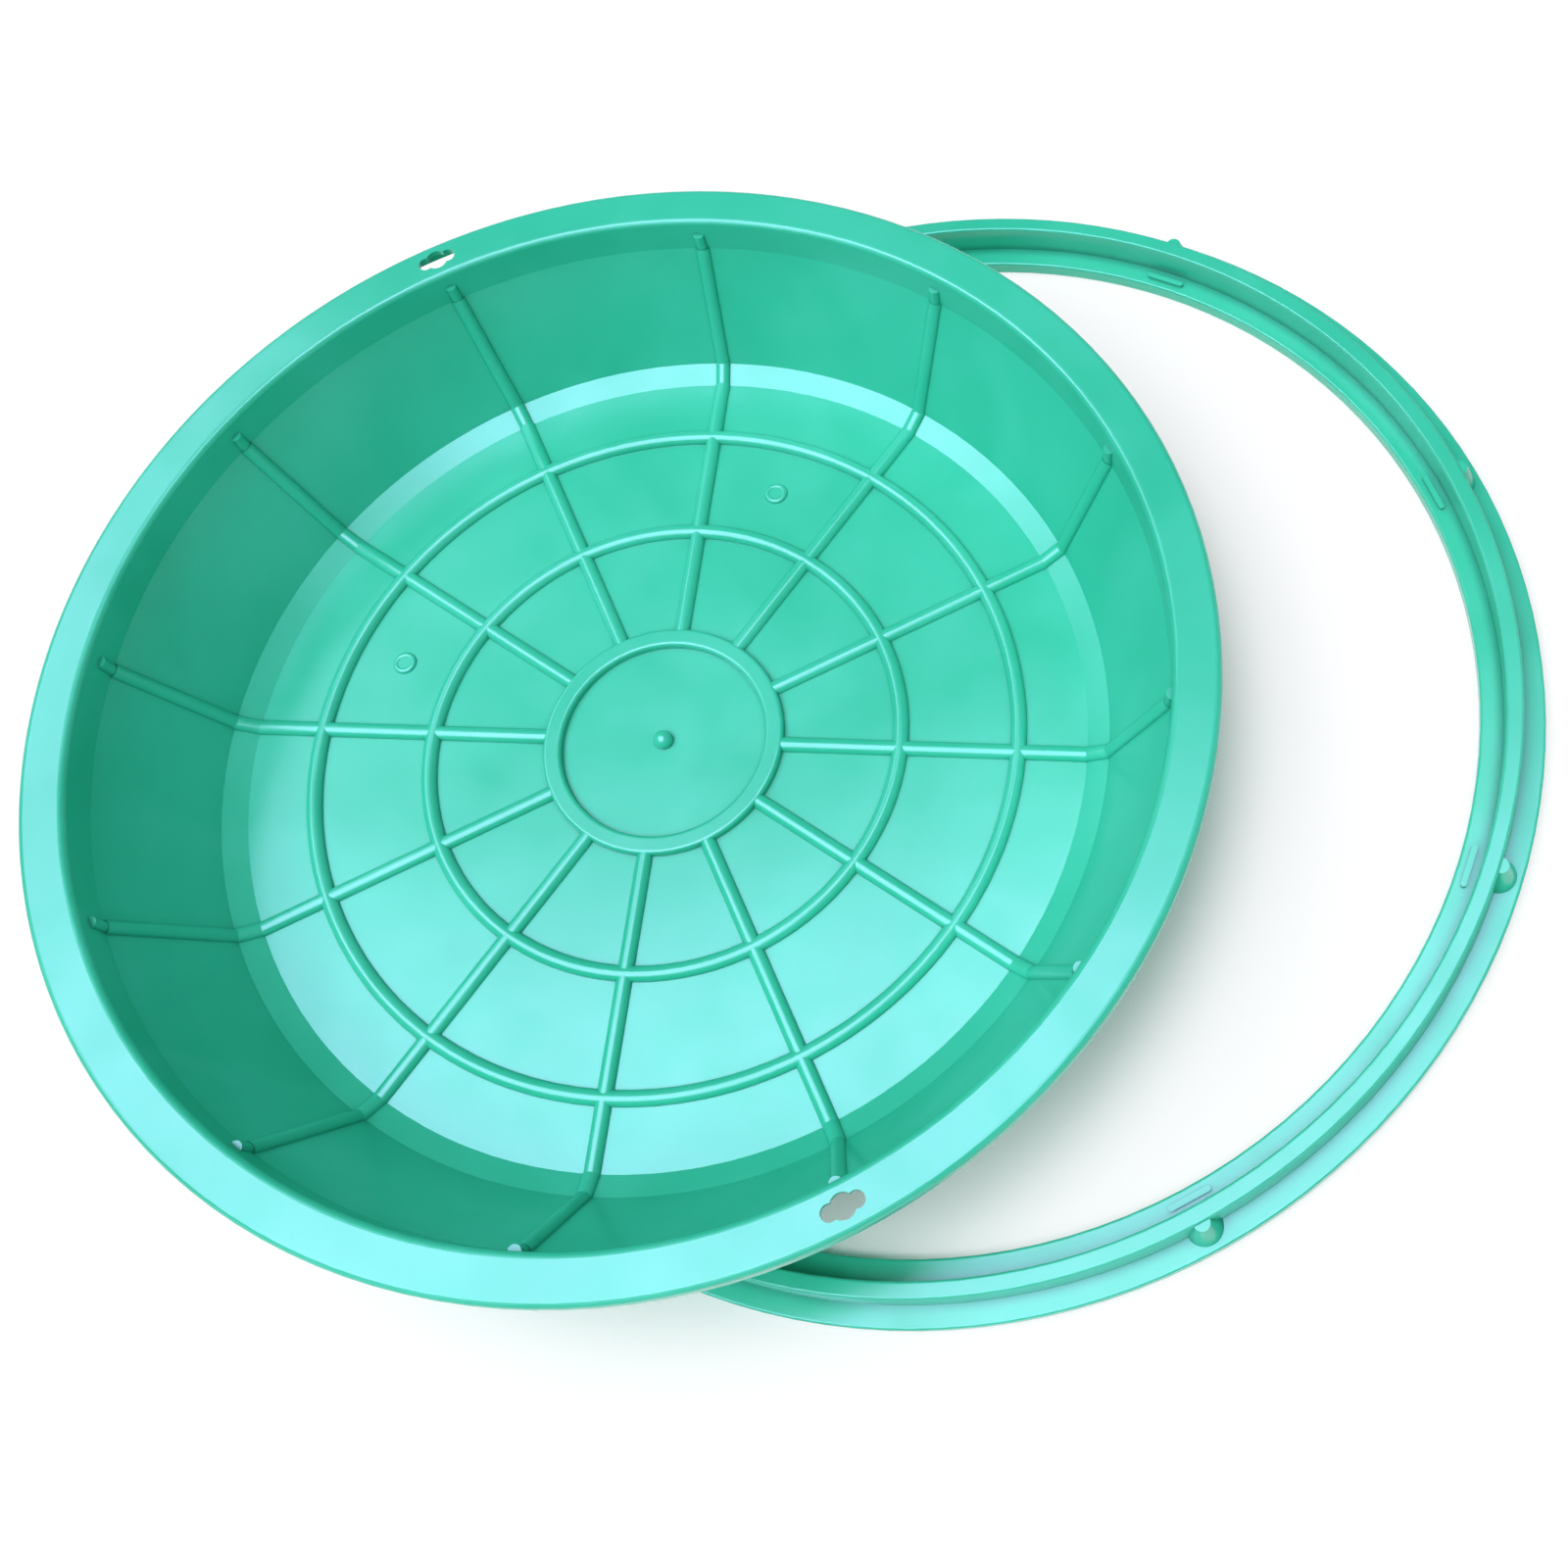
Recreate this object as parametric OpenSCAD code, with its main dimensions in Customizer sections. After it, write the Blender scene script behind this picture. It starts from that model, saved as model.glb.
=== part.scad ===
// Septic tank cover: a ribbed dish lid lying part way across the seat ring that it closes.
// The ring lies flat on z = 0 with its centre at the origin.
// The lid leans towards +X: its floor edge touches z = 0 inside the ring, and its floor bears on the rim.

/* [Lid dish] */
// Outside diameter of the flange
lid_d = 743; // [715:1:765]
// Width of the flat flange, from the mouth of the dish to its edge
flange_w = 29; // [25:0.5:34]
// Depth of the dish, from the flange's top to the floor
dish_depth = 113; // [95:1:135]
// Diameter of the flat floor
floor_d = 573; // [540:1:590]
// Width of the bevel between the floor and the wall
bevel_w = 14.5; // [8:0.5:20]
// Height of the bevel
bevel_h = 7.2; // [4:0.2:12]
// Height of the steep neck under the flange
neck_h = 25; // [18:1:34]
// Taper of the neck on each side
neck_taper = 2; // [0.5:0.5:4]
// Wall thickness of the dish and flange
lid_t = 4; // [3:0.5:5]
// Height of the lip that turns down at the flange's edge
lip_h = 11; // [8:0.5:16]
// Radius of the rounded edges at the lip and the mouth
edge_r = 4; // [2:0.5:5]

/* [Lid ribs] */
// Number of radial ribs, an even number
rib_count = 12; // [8:2:16]
// Width of a rib at its foot
rib_w = 11; // [8:0.5:14]
// Height of a radial rib
rib_h = 4.8; // [3:0.2:6]
// Height of a ring rib, a little above the radial ribs that cross it
ring_rib_h = 5.2; // [3.2:0.2:6.4]
// Width of a rib at its upper end on the neck
rib_end_w = 7.5; // [5:0.5:10]
// Height of a rib at its upper end on the neck
rib_end_h = 3.4; // [2.4:0.2:4.4]
// Depth of the wall ribs' flat upper ends below the flange's top
rib_drop = 12; // [8:0.5:18]
// Radius of the inner ring rib
inner_ring_r = 161.5; // [130:0.5:180]
// Radius of the outer ring rib
outer_ring_r = 240.5; // [215:0.5:255]
// Radius of the hub ring, at the middle of its width
hub_r = 76; // [60:0.5:95]
// Width of the flat-topped hub ring at its foot
hub_w = 14; // [10:0.5:18]
// Radius of the rounded upper edges of the hub ring
hub_edge_r = 2.5; // [1:0.5:3]
// Radius of the round knob at the centre
knob_r = 6.5; // [5:0.5:8]
// Radius of the two small dished buttons on the floor, to the middle of their rounded edge
mark_r = 6; // [5:0.2:9]
// Radius of the rounded edge of a button
mark_edge_r = 2.2; // [1.4:0.2:3]
// Depth of a button's flat middle below its edge
mark_dish = 0.7; // [0.3:0.1:1]

/* [Lifting holes] */
// Diameter of the middle lobe
hole_d = 15; // [12:0.5:18]
// Diameter of the two end lobes
lobe_d = 10; // [8:0.5:12]
// Distance from the middle lobe's centre to an end lobe's centre
lobe_reach = 8; // [6:0.2:11]

/* [Seat ring] */
// Gap all round between the flange's edge and the recess
fit_gap = 2.5; // [1.5:0.5:5]
// Width of the ledge that carries the flange
ledge_w = 14; // [11:0.5:20]
// Width of the rim round the recess
rim_w = 10.5; // [9:0.5:14]
// Width of the apron outside the rim
apron_w = 15.5; // [10:0.5:24]
// Height of the ledge and the apron
ledge_h = 9.5; // [8:0.5:13]
// Height of the rim
rim_h = 32; // [26:0.5:40]
// Wall thickness of the ring
ring_t = 3.4; // [2.4:0.2:3.8]
// Slope of the rim's outer wall, as an added width at its foot
rim_taper = 1.5; // [0:0.5:3]
// Radius of the rounded upper edges of the ring
ring_edge_r = 1.6; // [0.8:0.2:2.4]
// Number of webs across the underside
web_count = 24; // [12:4:36]
// Thickness of a web
web_t = 3; // [2:0.5:4]

/* [Seat pads and buttresses] */
// Angle between neighbours in each group of four
pad_pitch = 42; // [38:0.5:45]
// Direction of the middle of the group opposite the lid
pad_turn = -8.25; // [-20:0.25:20]
// Length of a pad along the ledge
pad_l = 28; // [16:1:34]
// Width of a pad
pad_w = 3.6; // [2.4:0.2:6]
// Height of a pad above the ledge
pad_h = 2.4; // [1:0.2:3]
// Radius of a buttress at its foot
buttress_r = 12; // [8:0.5:13]
// Radius of a buttress at its top
buttress_top_r = 5; // [3:0.5:7]
// Depth of a buttress's top below the rim's top
buttress_drop = 2; // [1.5:0.5:6]

/* [Lay of the lid] */
// Distance from the ring's centre to the point where the lid's floor edge touches the ground
touch_x = 106; // [85:1:118]
// Direction of the first radial rib, seen from above
rib_turn = -11.5; // [-30:0.5:30]
// Clearance between the lid's floor and the rim
rest_gap = 0.2; // [0.2:0.1:1]

/* [Hidden] */
$fn = 96;
plastic = [0.33, 0.85, 0.74];
arc_steps = 5;
cut_over = 1;

lid_r = lid_d / 2;
mouth_r = lid_r - flange_w;
floor_r = floor_d / 2;
bevel_r = floor_r + bevel_w;
neck_r = mouth_r - neck_taper;
floor_z = lid_t;
lid_top = floor_z + dish_depth;
neck_z = lid_top - neck_h;
rib_top = lid_top - rib_drop;
hole_r = mouth_r + flange_w / 2;
rib_pitch = 360 / rib_count;
mark_orbit = (inner_ring_r + outer_ring_r) / 2;

// The shares of a rib's narrowing that are reached on the bevel, on the wall and on the neck
bevel_share = 0.1;
wall_share = 0.3;
neck_share = 0.9;

// How far a rib's bevel stretch runs on inside the stretches beside it
bevel_lap = 1;

recess_r = lid_r + fit_gap;
opening_r = recess_r - ledge_w;
rim_r = recess_r + rim_w;
ring_r = rim_r + apron_w;
ledge_mid_r = recess_r - ledge_w / 2;

function unit(v) = v / norm(v);

// The direction at right angles to the step from a to b, on its right-hand side
function right_of(a, b) = let (d = unit(b - a)) [d[1], -d[0]];

// A path moved to its right by t, with its corners kept sharp
function moved(path, t) = [
    for (i = [0 : len(path) - 1])
        let (before = right_of(path[max(i - 1, 0)], path[max(i, 1)]))
        let (after = right_of(path[min(i, len(path) - 2)], path[min(i + 1, len(path) - 1)]))
        path[i] + t * (before + after) / (1 + before * after)
];

// The points of an arc of radius r that rounds the corner at b between a and c
function corner_arc(a, b, c, r) =
    let (u = unit(a - b), v = unit(c - b), half = acos(u * v) / 2)
    let (centre = b + unit(u + v) * r / sin(half), spoke = b + u * r / tan(half) - centre)
    let (sweep = (180 - 2 * half) * sign(cross(v, u)))
    [for (k = [0 : arc_steps])
        let (turn = sweep * k / arc_steps)
        centre + [spoke[0] * cos(turn) - spoke[1] * sin(turn), spoke[0] * sin(turn) + spoke[1] * cos(turn)]];

// A path with each corner rounded by its own radius, where 0 leaves it sharp
function rounded(path, radii) = [
    for (i = [0 : len(path) - 1])
        each radii[i] == 0 ? [path[i]] : corner_arc(path[i - 1], path[i], path[i + 1], radii[i])
];

function reversed(path) = [for (i = [len(path) - 1 : -1 : 0]) path[i]];

// The closed outline of a sheet of thickness t that lies to the right of a path
function sheet_outline(path, radii, t) = concat(rounded(path, radii), reversed(moved(path, t)));

// The upper surface of the lid, from its centre over the floor, bevel, wall, neck and flange to the lip
lid_path = [
    [0, floor_z],
    [floor_r, floor_z],
    [bevel_r, floor_z + bevel_h],
    [neck_r, neck_z],
    [mouth_r, lid_top],
    [lid_r, lid_top],
    [lid_r, lid_top - lip_h]
];
lid_radii = [0, 0, 0, 0, edge_r, edge_r, 0];

// Where the wall ribs end on the neck
rib_end = [mouth_r - neck_taper * rib_drop / neck_h, rib_top];
rib_path = concat([for (i = [0 : 3]) lid_path[i]], [rib_end]);

// The outer skin of the ring's section, from the inner skirt over the ledge, recess and rim to the apron
ring_path = [
    [opening_r, 0],
    [opening_r, ledge_h],
    [recess_r, ledge_h],
    [recess_r, rim_h],
    [rim_r, rim_h],
    [rim_r + rim_taper, ledge_h],
    [ring_r, ledge_h],
    [ring_r, 0]
];
ring_radii = [0, ring_edge_r, 0, ring_edge_r, ring_edge_r, 0, ring_edge_r, 0];

// The flat underside of the lid ends where the bevel begins on the outside
under_r = moved(lid_path, lid_t)[1][0];

// The rim first meets the floor where its inner edge crosses the floor's edge.
// This is how far that crossing lies up the slope of the floor, measured from the point on the ground.
crossing = (pow(recess_r, 2) - pow(touch_x, 2)) / (2 * (under_r - touch_x));
lean = asin((rim_h + rest_gap) / crossing);

// The radius of the bar that shows a width w and a height h above a surface
function bar_radius(w, h) = (pow(w / 2, 2) + pow(h, 2)) / (2 * h);

// The width and height of a rib at the share s of its climb from the bevel to its upper end
function rib_size(s) = [rib_w + (rib_end_w - rib_w) * s, rib_h + (rib_end_h - rib_h) * s];

// A round-topped ridge of a rib's width and height on the surface from a to b of the section
module ridge(a, b, size) {
    bar_r = bar_radius(size[0], size[1]);
    foot = a + right_of(a, b) * (bar_r - size[1]);
    translate([foot[0], 0, foot[1]])
        rotate([0, 90 - atan2(b[1] - a[1], b[0] - a[0]), 0])
            cylinder(r = bar_r, h = norm(b - a));
}

// The section of a ridge that runs round the lid at radius r
module ridge_section(r, w, h) {
    bar_r = bar_radius(w, h);
    translate([r, floor_z + h - bar_r])
        circle(r = bar_r);
}

// The section of the flat-topped hub ring
module hub_section() {
    foot_z = floor_z - lid_t / 2;
    hub_top = floor_z + ring_rib_h;
    path = [[hub_r - hub_w / 2, foot_z], [hub_r - hub_w / 2 + 1, hub_top],
        [hub_r + hub_w / 2 - 1, hub_top], [hub_r + hub_w / 2, foot_z]];
    polygon(rounded(path, [0, hub_edge_r, hub_edge_r, 0]));
}

// The section of the space in the dish below the rib ends, reaching half way into the wall
module rib_space_section() {
    skin = moved(rib_path, lid_t / 2);
    polygon(concat([for (i = [0 : 3]) skin[i]], [[skin[4][0], rib_top], [0, rib_top]]));
}

// One rib in the plane of +X, over the floor and the bevel, up the wall and on to the neck
module radial_rib() {
    lap = unit(rib_path[2] - rib_path[1]) * bevel_lap;
    intersection() {
        union() {
            ridge([hub_r, floor_z], rib_path[1], rib_size(0));
            ridge(rib_path[1] - lap, rib_path[2] + lap, rib_size(bevel_share));
            ridge(rib_path[2], rib_path[3], rib_size(wall_share));
            ridge(rib_path[3], rib_end + [0, cut_over], rib_size(neck_share));
        }
        rotate([90, 0, 0])
            linear_extrude(height = 2 * rib_w, center = true)
                rib_space_section();
    }
}

module ring_ribs() {
    rotate_extrude()
        intersection() {
            union() {
                hub_section();
                ridge_section(inner_ring_r, rib_w, ring_rib_h);
                ridge_section(outer_ring_r, rib_w, ring_rib_h);
            }
            rib_space_section();
        }
}

module radial_ribs() {
    for (i = [0 : rib_count - 1])
        rotate(i * rib_pitch)
            radial_rib();
}

// The knob at the centre, a short pin with a domed top
module knob() {
    translate([0, 0, floor_z - lid_t / 2])
        cylinder(r = knob_r, h = lid_t / 2 + rib_h - knob_r / 2);
    translate([0, 0, floor_z + rib_h - knob_r / 2])
        intersection() {
            sphere(r = knob_r);
            translate([0, 0, knob_r / 2])
                cube([2 * knob_r, 2 * knob_r, knob_r], center = true);
        }
}

// A small raised button on the floor, with a rounded edge and a dished middle
module mark() {
    rotate_extrude()
        union() {
            intersection() {
                translate([mark_r, floor_z])
                    circle(r = mark_edge_r);
                translate([0, floor_z - lid_t / 2])
                    square([2 * mark_r, 2 * lid_t]);
            }
            translate([0, floor_z - lid_t / 2])
                square([mark_r, lid_t / 2 + mark_edge_r - mark_dish]);
        }
}

// A lifting hole through the flange: one round lobe with a smaller one on each side
module lifting_hole() {
    hole_z = lid_top - lid_t - cut_over;
    hole_h = lid_t + 2 * cut_over;
    translate([hole_r, 0, hole_z])
        cylinder(d = hole_d, h = hole_h);
    for (side = [-1, 1])
        translate([hole_r, side * lobe_reach, hole_z])
            cylinder(d = lobe_d, h = hole_h);
}

// The lid on its own floor, with its first rib along +X
module lid_flat() {
    difference() {
        union() {
            rotate_extrude()
                polygon(sheet_outline(lid_path, lid_radii, lid_t));
            ring_ribs();
            radial_ribs();
            knob();
            for (i = [2, 5])
                rotate((i + 0.5) * rib_pitch)
                    translate([mark_orbit, 0, 0])
                        mark();
        }
        for (i = [0, rib_count / 2])
            rotate(i * rib_pitch - 2 * rib_pitch)
                lifting_hole();
    }
}

module lid() {
    color(plastic)
        translate([touch_x, 0, 0])
            rotate([0, lean, 0])
                translate([-under_r, 0, 0])
                    rotate(rib_turn)
                        lid_flat();
}

// A raised pad on the ledge, round at both ends
module seat_pad() {
    run = pad_l - pad_w;
    translate([ledge_mid_r, 0, ledge_h - ring_t / 2]) {
        translate([-pad_w / 2, -run / 2, 0])
            cube([pad_w, run, ring_t / 2 + pad_h]);
        for (side = [-1, 1])
            translate([0, side * run / 2, 0])
                cylinder(d = pad_w, h = ring_t / 2 + pad_h);
    }
}

// A half cone that props the rim's outer wall on the apron
module buttress() {
    foot_z = ledge_h - ring_t / 2;
    height = rim_h - buttress_drop - foot_z;
    intersection() {
        translate([rim_r, 0, foot_z])
            cylinder(r1 = buttress_r, r2 = buttress_top_r, h = height);
        translate([rim_r - ring_t / 2, -buttress_r, foot_z])
            cube([apron_w, 2 * buttress_r, height]);
    }
}

// The webs that stiffen the hollow underside from skirt to skirt
module webs() {
    web_in = opening_r + ring_t / 2;
    web_out = ring_r - ring_t / 2;
    for (i = [0 : web_count - 1])
        rotate((i + 0.5) * 360 / web_count)
            translate([web_in, -web_t / 2, web_t / 2])
                cube([web_out - web_in, web_t, ledge_h - ring_t / 2 - web_t / 2]);
}

module seat_ring() {
    color(plastic)
        union() {
            rotate_extrude()
                polygon(sheet_outline(ring_path, ring_radii, ring_t));
            webs();
            for (half = [0, 180], i = [-1.5 : 1 : 1.5])
                rotate(pad_turn + half + i * pad_pitch) {
                    seat_pad();
                    buttress();
                }
        }
}

lid();
seat_ring();
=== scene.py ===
"""Septic tank cover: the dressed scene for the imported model, in metres and in the model's own frame."""
import bpy
import numpy as np
from mathutils import Matrix, Vector


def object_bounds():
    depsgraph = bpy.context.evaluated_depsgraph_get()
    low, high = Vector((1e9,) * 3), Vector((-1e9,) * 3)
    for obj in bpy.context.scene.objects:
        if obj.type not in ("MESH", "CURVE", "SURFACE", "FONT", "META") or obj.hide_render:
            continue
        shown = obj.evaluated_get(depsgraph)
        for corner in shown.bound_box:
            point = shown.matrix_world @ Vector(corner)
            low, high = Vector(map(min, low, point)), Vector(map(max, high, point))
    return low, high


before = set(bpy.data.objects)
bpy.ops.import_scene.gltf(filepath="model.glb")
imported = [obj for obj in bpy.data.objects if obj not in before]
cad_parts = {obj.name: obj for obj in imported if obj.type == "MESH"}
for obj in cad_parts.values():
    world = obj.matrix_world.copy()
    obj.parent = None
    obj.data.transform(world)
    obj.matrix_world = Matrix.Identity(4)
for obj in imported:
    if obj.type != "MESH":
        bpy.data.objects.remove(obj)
cad_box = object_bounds()
scene = bpy.context.scene

# Camera: solved from the photograph, whose optical centre lies right of the frame's middle
IMAGE = 1600.0
SENSOR = 36.0
FOCAL = 1671.05
CENTRE = (1050.0, 760.0)
EYE = (0.1743, -0.4720, 0.9973)
RIGHT = (0.97700892, -0.13197716, -0.16743837)
AHEAD = (-0.10306167, 0.39513844, -0.91282195)
NEAREST = 0.02
FARTHEST = 60.0

# The plastic's greens: the usual one, the deep one of its clouds and the pale one of its flow streaks
GREEN = (0.042, 0.590, 0.400)
DEEP_GREEN = (0.028, 0.530, 0.345)
PALE_GREEN = (0.080, 0.660, 0.490)

# Noise in the plastic: scale per metre, detail, roughness and warp
CLOUD = (6.0, 3.0, 0.55, 0.6)
STREAK = (13.0, 1.5, 0.45, 0.4)
RUBBED = (22.0, 2.0, 0.5, 0.0)
WAVE = (34.0, 1.0, 0.4, 0.0)

# The levels of the noise between which a cloud, a streak and a rubbed patch come in
CLOUD_EDGE = (0.30, 0.70)
STREAK_EDGE = (0.40, 0.78)
RUBBED_EDGE = (0.35, 0.70)

# The share of pale green in a streak, and the roughness of new skin and of rubbed skin
STREAK_SHARE = 0.35
NEW_SKIN = 0.20
RUBBED_SKIN = 0.26

# The skin's waves: their strength in the bump and their height
WAVE_STRENGTH = 0.05
WAVE_HEIGHT = 0.0025
PLASTIC_IOR = 1.58

# Painted shade in nooks: its reach, the rays that feel the nooks, the openness between which the painted
# shade darkens, its share and tone
NOOK_REACH = 0.010
NOOK_RAYS = 8
NOOK_EDGE = (0.45, 0.90)
NOOK_SHADE_SHARE = 0.65
NOOK_SHADE_TONE = 0.5

# The floor: half its side, its drop below the model, its grey, its glow and the glow's share of its look
FLOOR_HALF = 14.0
FLOOR_DROP = 0.0005
FLOOR_GREY = 0.95
FLOOR_GLOW = 0.98
FLOOR_GLOW_SHARE = 0.55

# Where the lid lies over the floor, and the distances from there over which the floor's glow comes in
LID_SPOT = (-0.18, 0.0, 0.0)
GLOW_EDGE = (0.36, 0.42)

# Radiance of the bright panel overhead, as it lights the model and as it shows in the gloss
PANEL = (3.60, 3.50, 3.65)
SHEEN = (5.6, 6.8, 11.2)

# The panel's edges: the slopes of a ray, across (X over Z) or along (Y over Z), between which it fades
PANEL_LEFT = (-1.05, -0.70)
PANEL_RIGHT = (0.10, 0.50)
PANEL_NEAR = (-1.10, -0.55)
PANEL_FAR = (0.31, 0.41)

# The panel's dimmer left wing, which reaches farther back: its right and far edges and its brightness
WING_RIGHT = (-0.48, -0.34)
WING_FAR = (0.80, 1.00)
WING_SHARE = 0.6

# A ray's slope is taken above this height, so that it stays finite at the horizon
LOWEST_UP = 0.02

# Radiance of the dim room on its near and far side, and the ray's Y between which one becomes the other
ROOM_NEAR = (0.30, 0.31, 0.32)
ROOM_FAR = (0.13, 0.14, 0.15)
ROOM_TURN = (-0.8, 0.8)

WHITE = (1.0, 1.0, 1.0)

# Places of the colour sockets on a Mix node
MIX_FIRST = 6
MIX_SECOND = 7
MIX_RESULT = 2


def make_camera():
    """Places the camera by its eye point and its right and forward directions."""
    data = bpy.data.cameras.new("view")
    data.sensor_width = SENSOR
    data.lens = FOCAL / IMAGE * SENSOR
    data.shift_x = (IMAGE / 2 - CENTRE[0]) / IMAGE
    data.shift_y = (CENTRE[1] - IMAGE / 2) / IMAGE
    data.clip_start = NEAREST
    data.clip_end = FARTHEST
    cam = bpy.data.objects.new("view", data)
    scene.collection.objects.link(cam)
    ahead = Vector(AHEAD).normalized()
    up = Vector(RIGHT).cross(ahead).normalized()
    right = ahead.cross(up)
    turn = Matrix((right, up, -ahead)).transposed().to_4x4()
    cam.matrix_world = Matrix.Translation(EYE) @ turn
    scene.camera = cam


class Nodes:
    """A short way to write a node tree: each call adds a node, sets its sockets and links its inputs."""

    def __init__(self, tree):
        self.tree = tree
        tree.nodes.clear()

    def fill(self, socket, value):
        """Links a socket to another node's output, or gives it a constant."""
        if isinstance(value, bpy.types.NodeSocket):
            self.tree.links.new(value, socket)
        else:
            socket.default_value = value

    def add(self, kind, sockets=None, **settings):
        """Adds a node of a kind, with its settings and the values or links of its sockets."""
        node = self.tree.nodes.new(kind)
        for key, value in settings.items():
            setattr(node, key, value)
        for key, value in (sockets or {}).items():
            self.fill(node.inputs[key], value)
        return node

    def noise(self, where, scale, detail, rough, warp):
        """Noise at a place, about 0.5 on average."""
        return self.add("ShaderNodeTexNoise", {"Vector": where, "Scale": scale, "Detail": detail,
                                               "Roughness": rough, "Distortion": warp}).outputs["Fac"]

    def span(self, value, low, high, to_low=0.0, to_high=1.0):
        """A smooth step: to_low below low, to_high above high and an S curve in between."""
        return self.add("ShaderNodeMapRange", {"Value": value, "From Min": low, "From Max": high,
                                               "To Min": to_low, "To Max": to_high},
                        interpolation_type="SMOOTHSTEP").outputs["Result"]

    def math(self, how, a, b):
        """One step of arithmetic on two values."""
        return self.add("ShaderNodeMath", {0: a, 1: b}, operation=how).outputs[0]

    def blend(self, share, a, b):
        """The colour a where the share is 0 and b where it is 1."""
        node = self.add("ShaderNodeMix", {"Factor": share}, data_type="RGBA")
        for place, colour in ((MIX_FIRST, a), (MIX_SECOND, b)):
            self.fill(node.inputs[place], (*colour, 1.0) if isinstance(colour, tuple) else colour)
        return node.outputs[MIX_RESULT]


def moulded_plastic(name, base, deep, pale):
    """Glossy moulded polypropylene: a cloudy colour, faint flow streaks, rubbed patches, a wavy skin and
    painted shade darkening the nooks at the roots of ribs.
    """
    mat = bpy.data.materials.new(name)
    mat.use_nodes = True
    n = Nodes(mat.node_tree)
    where = n.add("ShaderNodeTexCoord").outputs["Object"]
    cloud = n.noise(where, *CLOUD)
    streak = n.noise(where, *STREAK)
    rubbed = n.noise(where, *RUBBED)
    wave = n.noise(where, *WAVE)
    colour = n.blend(n.span(cloud, *CLOUD_EDGE), deep, base)
    colour = n.blend(n.span(streak, *STREAK_EDGE, 0.0, STREAK_SHARE), colour, pale)
    # Painted shade: ambient occlusion darkens the colour towards a deep green in nooks, such as beside the
    # roots of ribs
    nook = n.add("ShaderNodeAmbientOcclusion", {"Distance": NOOK_REACH},
                 samples=NOOK_RAYS, only_local=True).outputs["AO"]
    painted_nook_shade = tuple(NOOK_SHADE_TONE * c for c in deep)
    colour = n.blend(n.span(nook, *NOOK_EDGE, NOOK_SHADE_SHARE, 0.0), colour, painted_nook_shade)
    gloss = n.span(rubbed, *RUBBED_EDGE, NEW_SKIN, RUBBED_SKIN)
    bump = n.add("ShaderNodeBump", {"Strength": WAVE_STRENGTH, "Distance": WAVE_HEIGHT,
                                    "Height": wave}).outputs["Normal"]
    shader = n.add("ShaderNodeBsdfPrincipled", {"Base Color": colour, "Roughness": gloss, "Normal": bump,
                                                "IOR": PLASTIC_IOR})
    n.add("ShaderNodeOutputMaterial", {"Surface": shader.outputs[0]})
    return mat


def dress(node, mat):
    """Gives a node of the model one material and leaves its mesh as it is."""
    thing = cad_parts[node]
    thing.data.materials.clear()
    thing.data.materials.append(mat)


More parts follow.
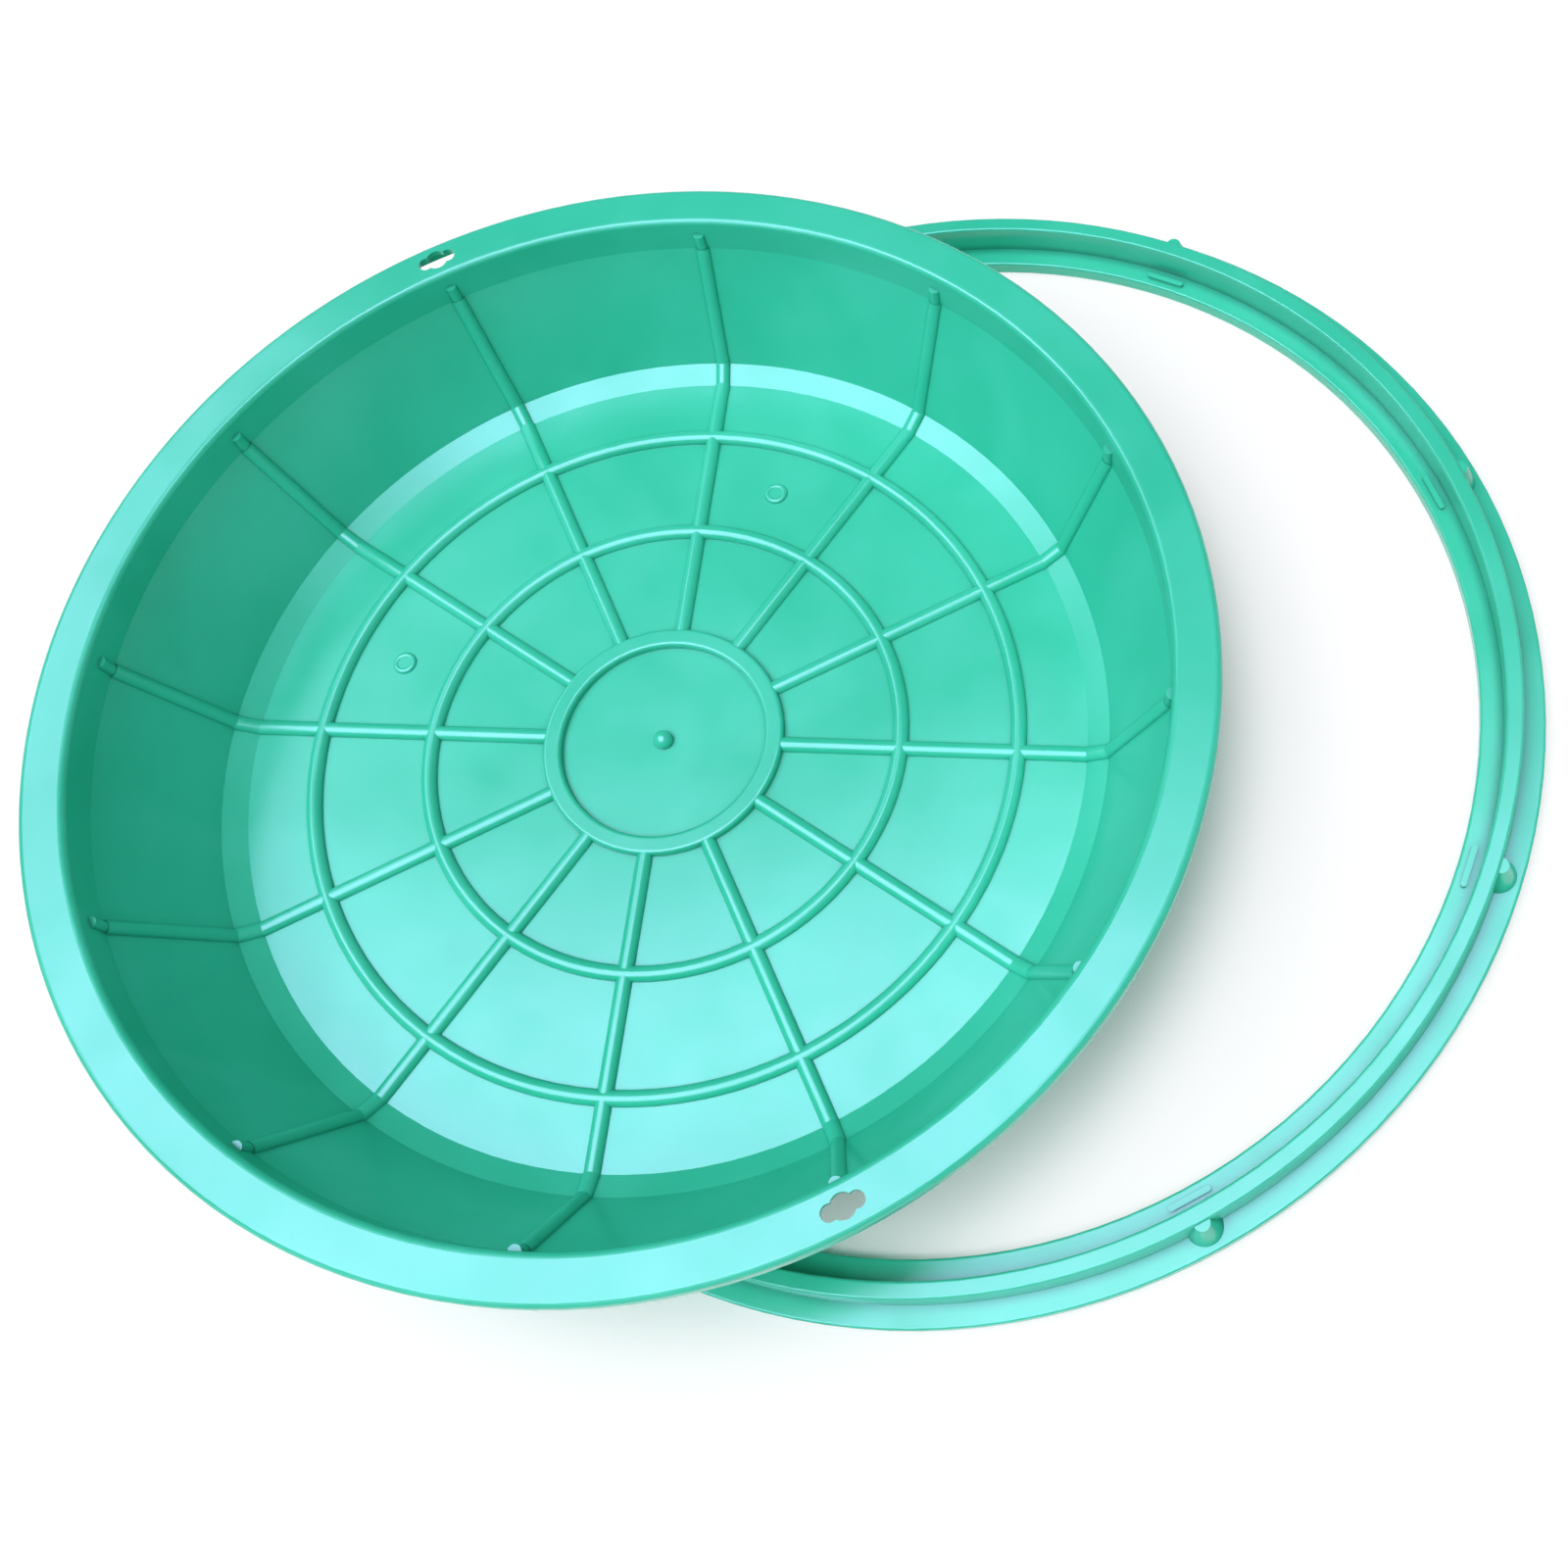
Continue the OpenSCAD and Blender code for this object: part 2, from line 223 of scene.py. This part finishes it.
def make_floor(below):
    """A pale floor just under the model, a flat square. It shows near white, keeps the shadow under the lid
    and can't be seen from below."""
    mesh = bpy.data.meshes.new("floor")
    corners = np.array([(-1, -1, 0), (1, -1, 0), (1, 1, 0), (-1, 1, 0)]) * FLOOR_HALF + (0.0, 0.0, below)
    mesh.from_pydata(corners.tolist(), [], [(0, 1, 2, 3)])
    floor = bpy.data.objects.new("floor", mesh)
    scene.collection.objects.link(floor)
    mat = bpy.data.materials.new("floor_pale")
    mat.use_nodes = True
    n = Nodes(mat.node_tree)
    ray = n.add("ShaderNodeLightPath").outputs
    seen = n.math("MAXIMUM", n.math("MAXIMUM", ray["Is Camera Ray"], ray["Is Glossy Ray"]),
                  ray["Is Transmission Ray"])
    spot = n.add("ShaderNodeVectorMath", {0: n.add("ShaderNodeTexCoord").outputs["Object"], 1: LID_SPOT},
                 operation="DISTANCE").outputs["Value"]
    share = n.math("MULTIPLY", seen, n.span(spot, *GLOW_EDGE, 0.0, FLOOR_GLOW_SHARE))
    matt = n.add("ShaderNodeBsdfDiffuse", {"Color": (FLOOR_GREY, FLOOR_GREY, FLOOR_GREY, 1.0)}).outputs[0]
    white = n.add("ShaderNodeEmission", {"Color": (*WHITE, 1.0), "Strength": FLOOR_GLOW}).outputs[0]
    top = n.add("ShaderNodeMixShader", {0: share, 1: matt, 2: white}).outputs[0]
    under = n.add("ShaderNodeNewGeometry").outputs["Backfacing"]
    clear = n.add("ShaderNodeBsdfTransparent").outputs[0]
    surface = n.add("ShaderNodeMixShader", {0: under, 1: top, 2: clear}).outputs[0]
    n.add("ShaderNodeOutputMaterial", {"Surface": surface})
    mesh.materials.append(mat)


def make_world():
    """A dim room with one big bright panel overhead, which lights the model and shows in its gloss."""
    world = bpy.data.worlds.new("studio")
    scene.world = world
    world.use_nodes = True
    n = Nodes(world.node_tree)
    way = n.add("ShaderNodeSeparateXYZ", {0: n.add("ShaderNodeTexCoord").outputs["Generated"]}).outputs
    up = n.math("MAXIMUM", way["Z"], LOWEST_UP)
    across = n.math("DIVIDE", way["X"], up)
    along = n.math("DIVIDE", way["Y"], up)
    panel = n.math("MULTIPLY", n.span(across, *PANEL_LEFT), n.span(across, *PANEL_RIGHT, 1.0, 0.0))
    panel = n.math("MULTIPLY", panel, n.span(along, *PANEL_NEAR))
    wing = n.math("MULTIPLY", n.span(across, *WING_RIGHT, WING_SHARE, 0.0),
                  n.span(along, *WING_FAR, 1.0, 0.0))
    panel = n.math("MULTIPLY", panel, n.span(along, *PANEL_FAR, 1.0, wing))
    room = n.blend(n.span(way["Y"], *ROOM_TURN), ROOM_NEAR, ROOM_FAR)
    ray = n.add("ShaderNodeLightPath").outputs
    sky = n.blend(panel, room, n.blend(ray["Is Glossy Ray"], PANEL, SHEEN))
    sky = n.blend(ray["Is Camera Ray"], sky, WHITE)
    back = n.add("ShaderNodeBackground", {"Color": sky, "Strength": 1.0})
    n.add("ShaderNodeOutputWorld", {"Surface": back.outputs[0]})


make_camera()
plastic = moulded_plastic("green_plastic", GREEN, DEEP_GREEN, PALE_GREEN)
for part in ("lid", "seat_ring"):
    dress(part, plastic)
make_floor(cad_box[0].z - FLOOR_DROP)
make_world()

scene.view_settings.view_transform = "Standard"
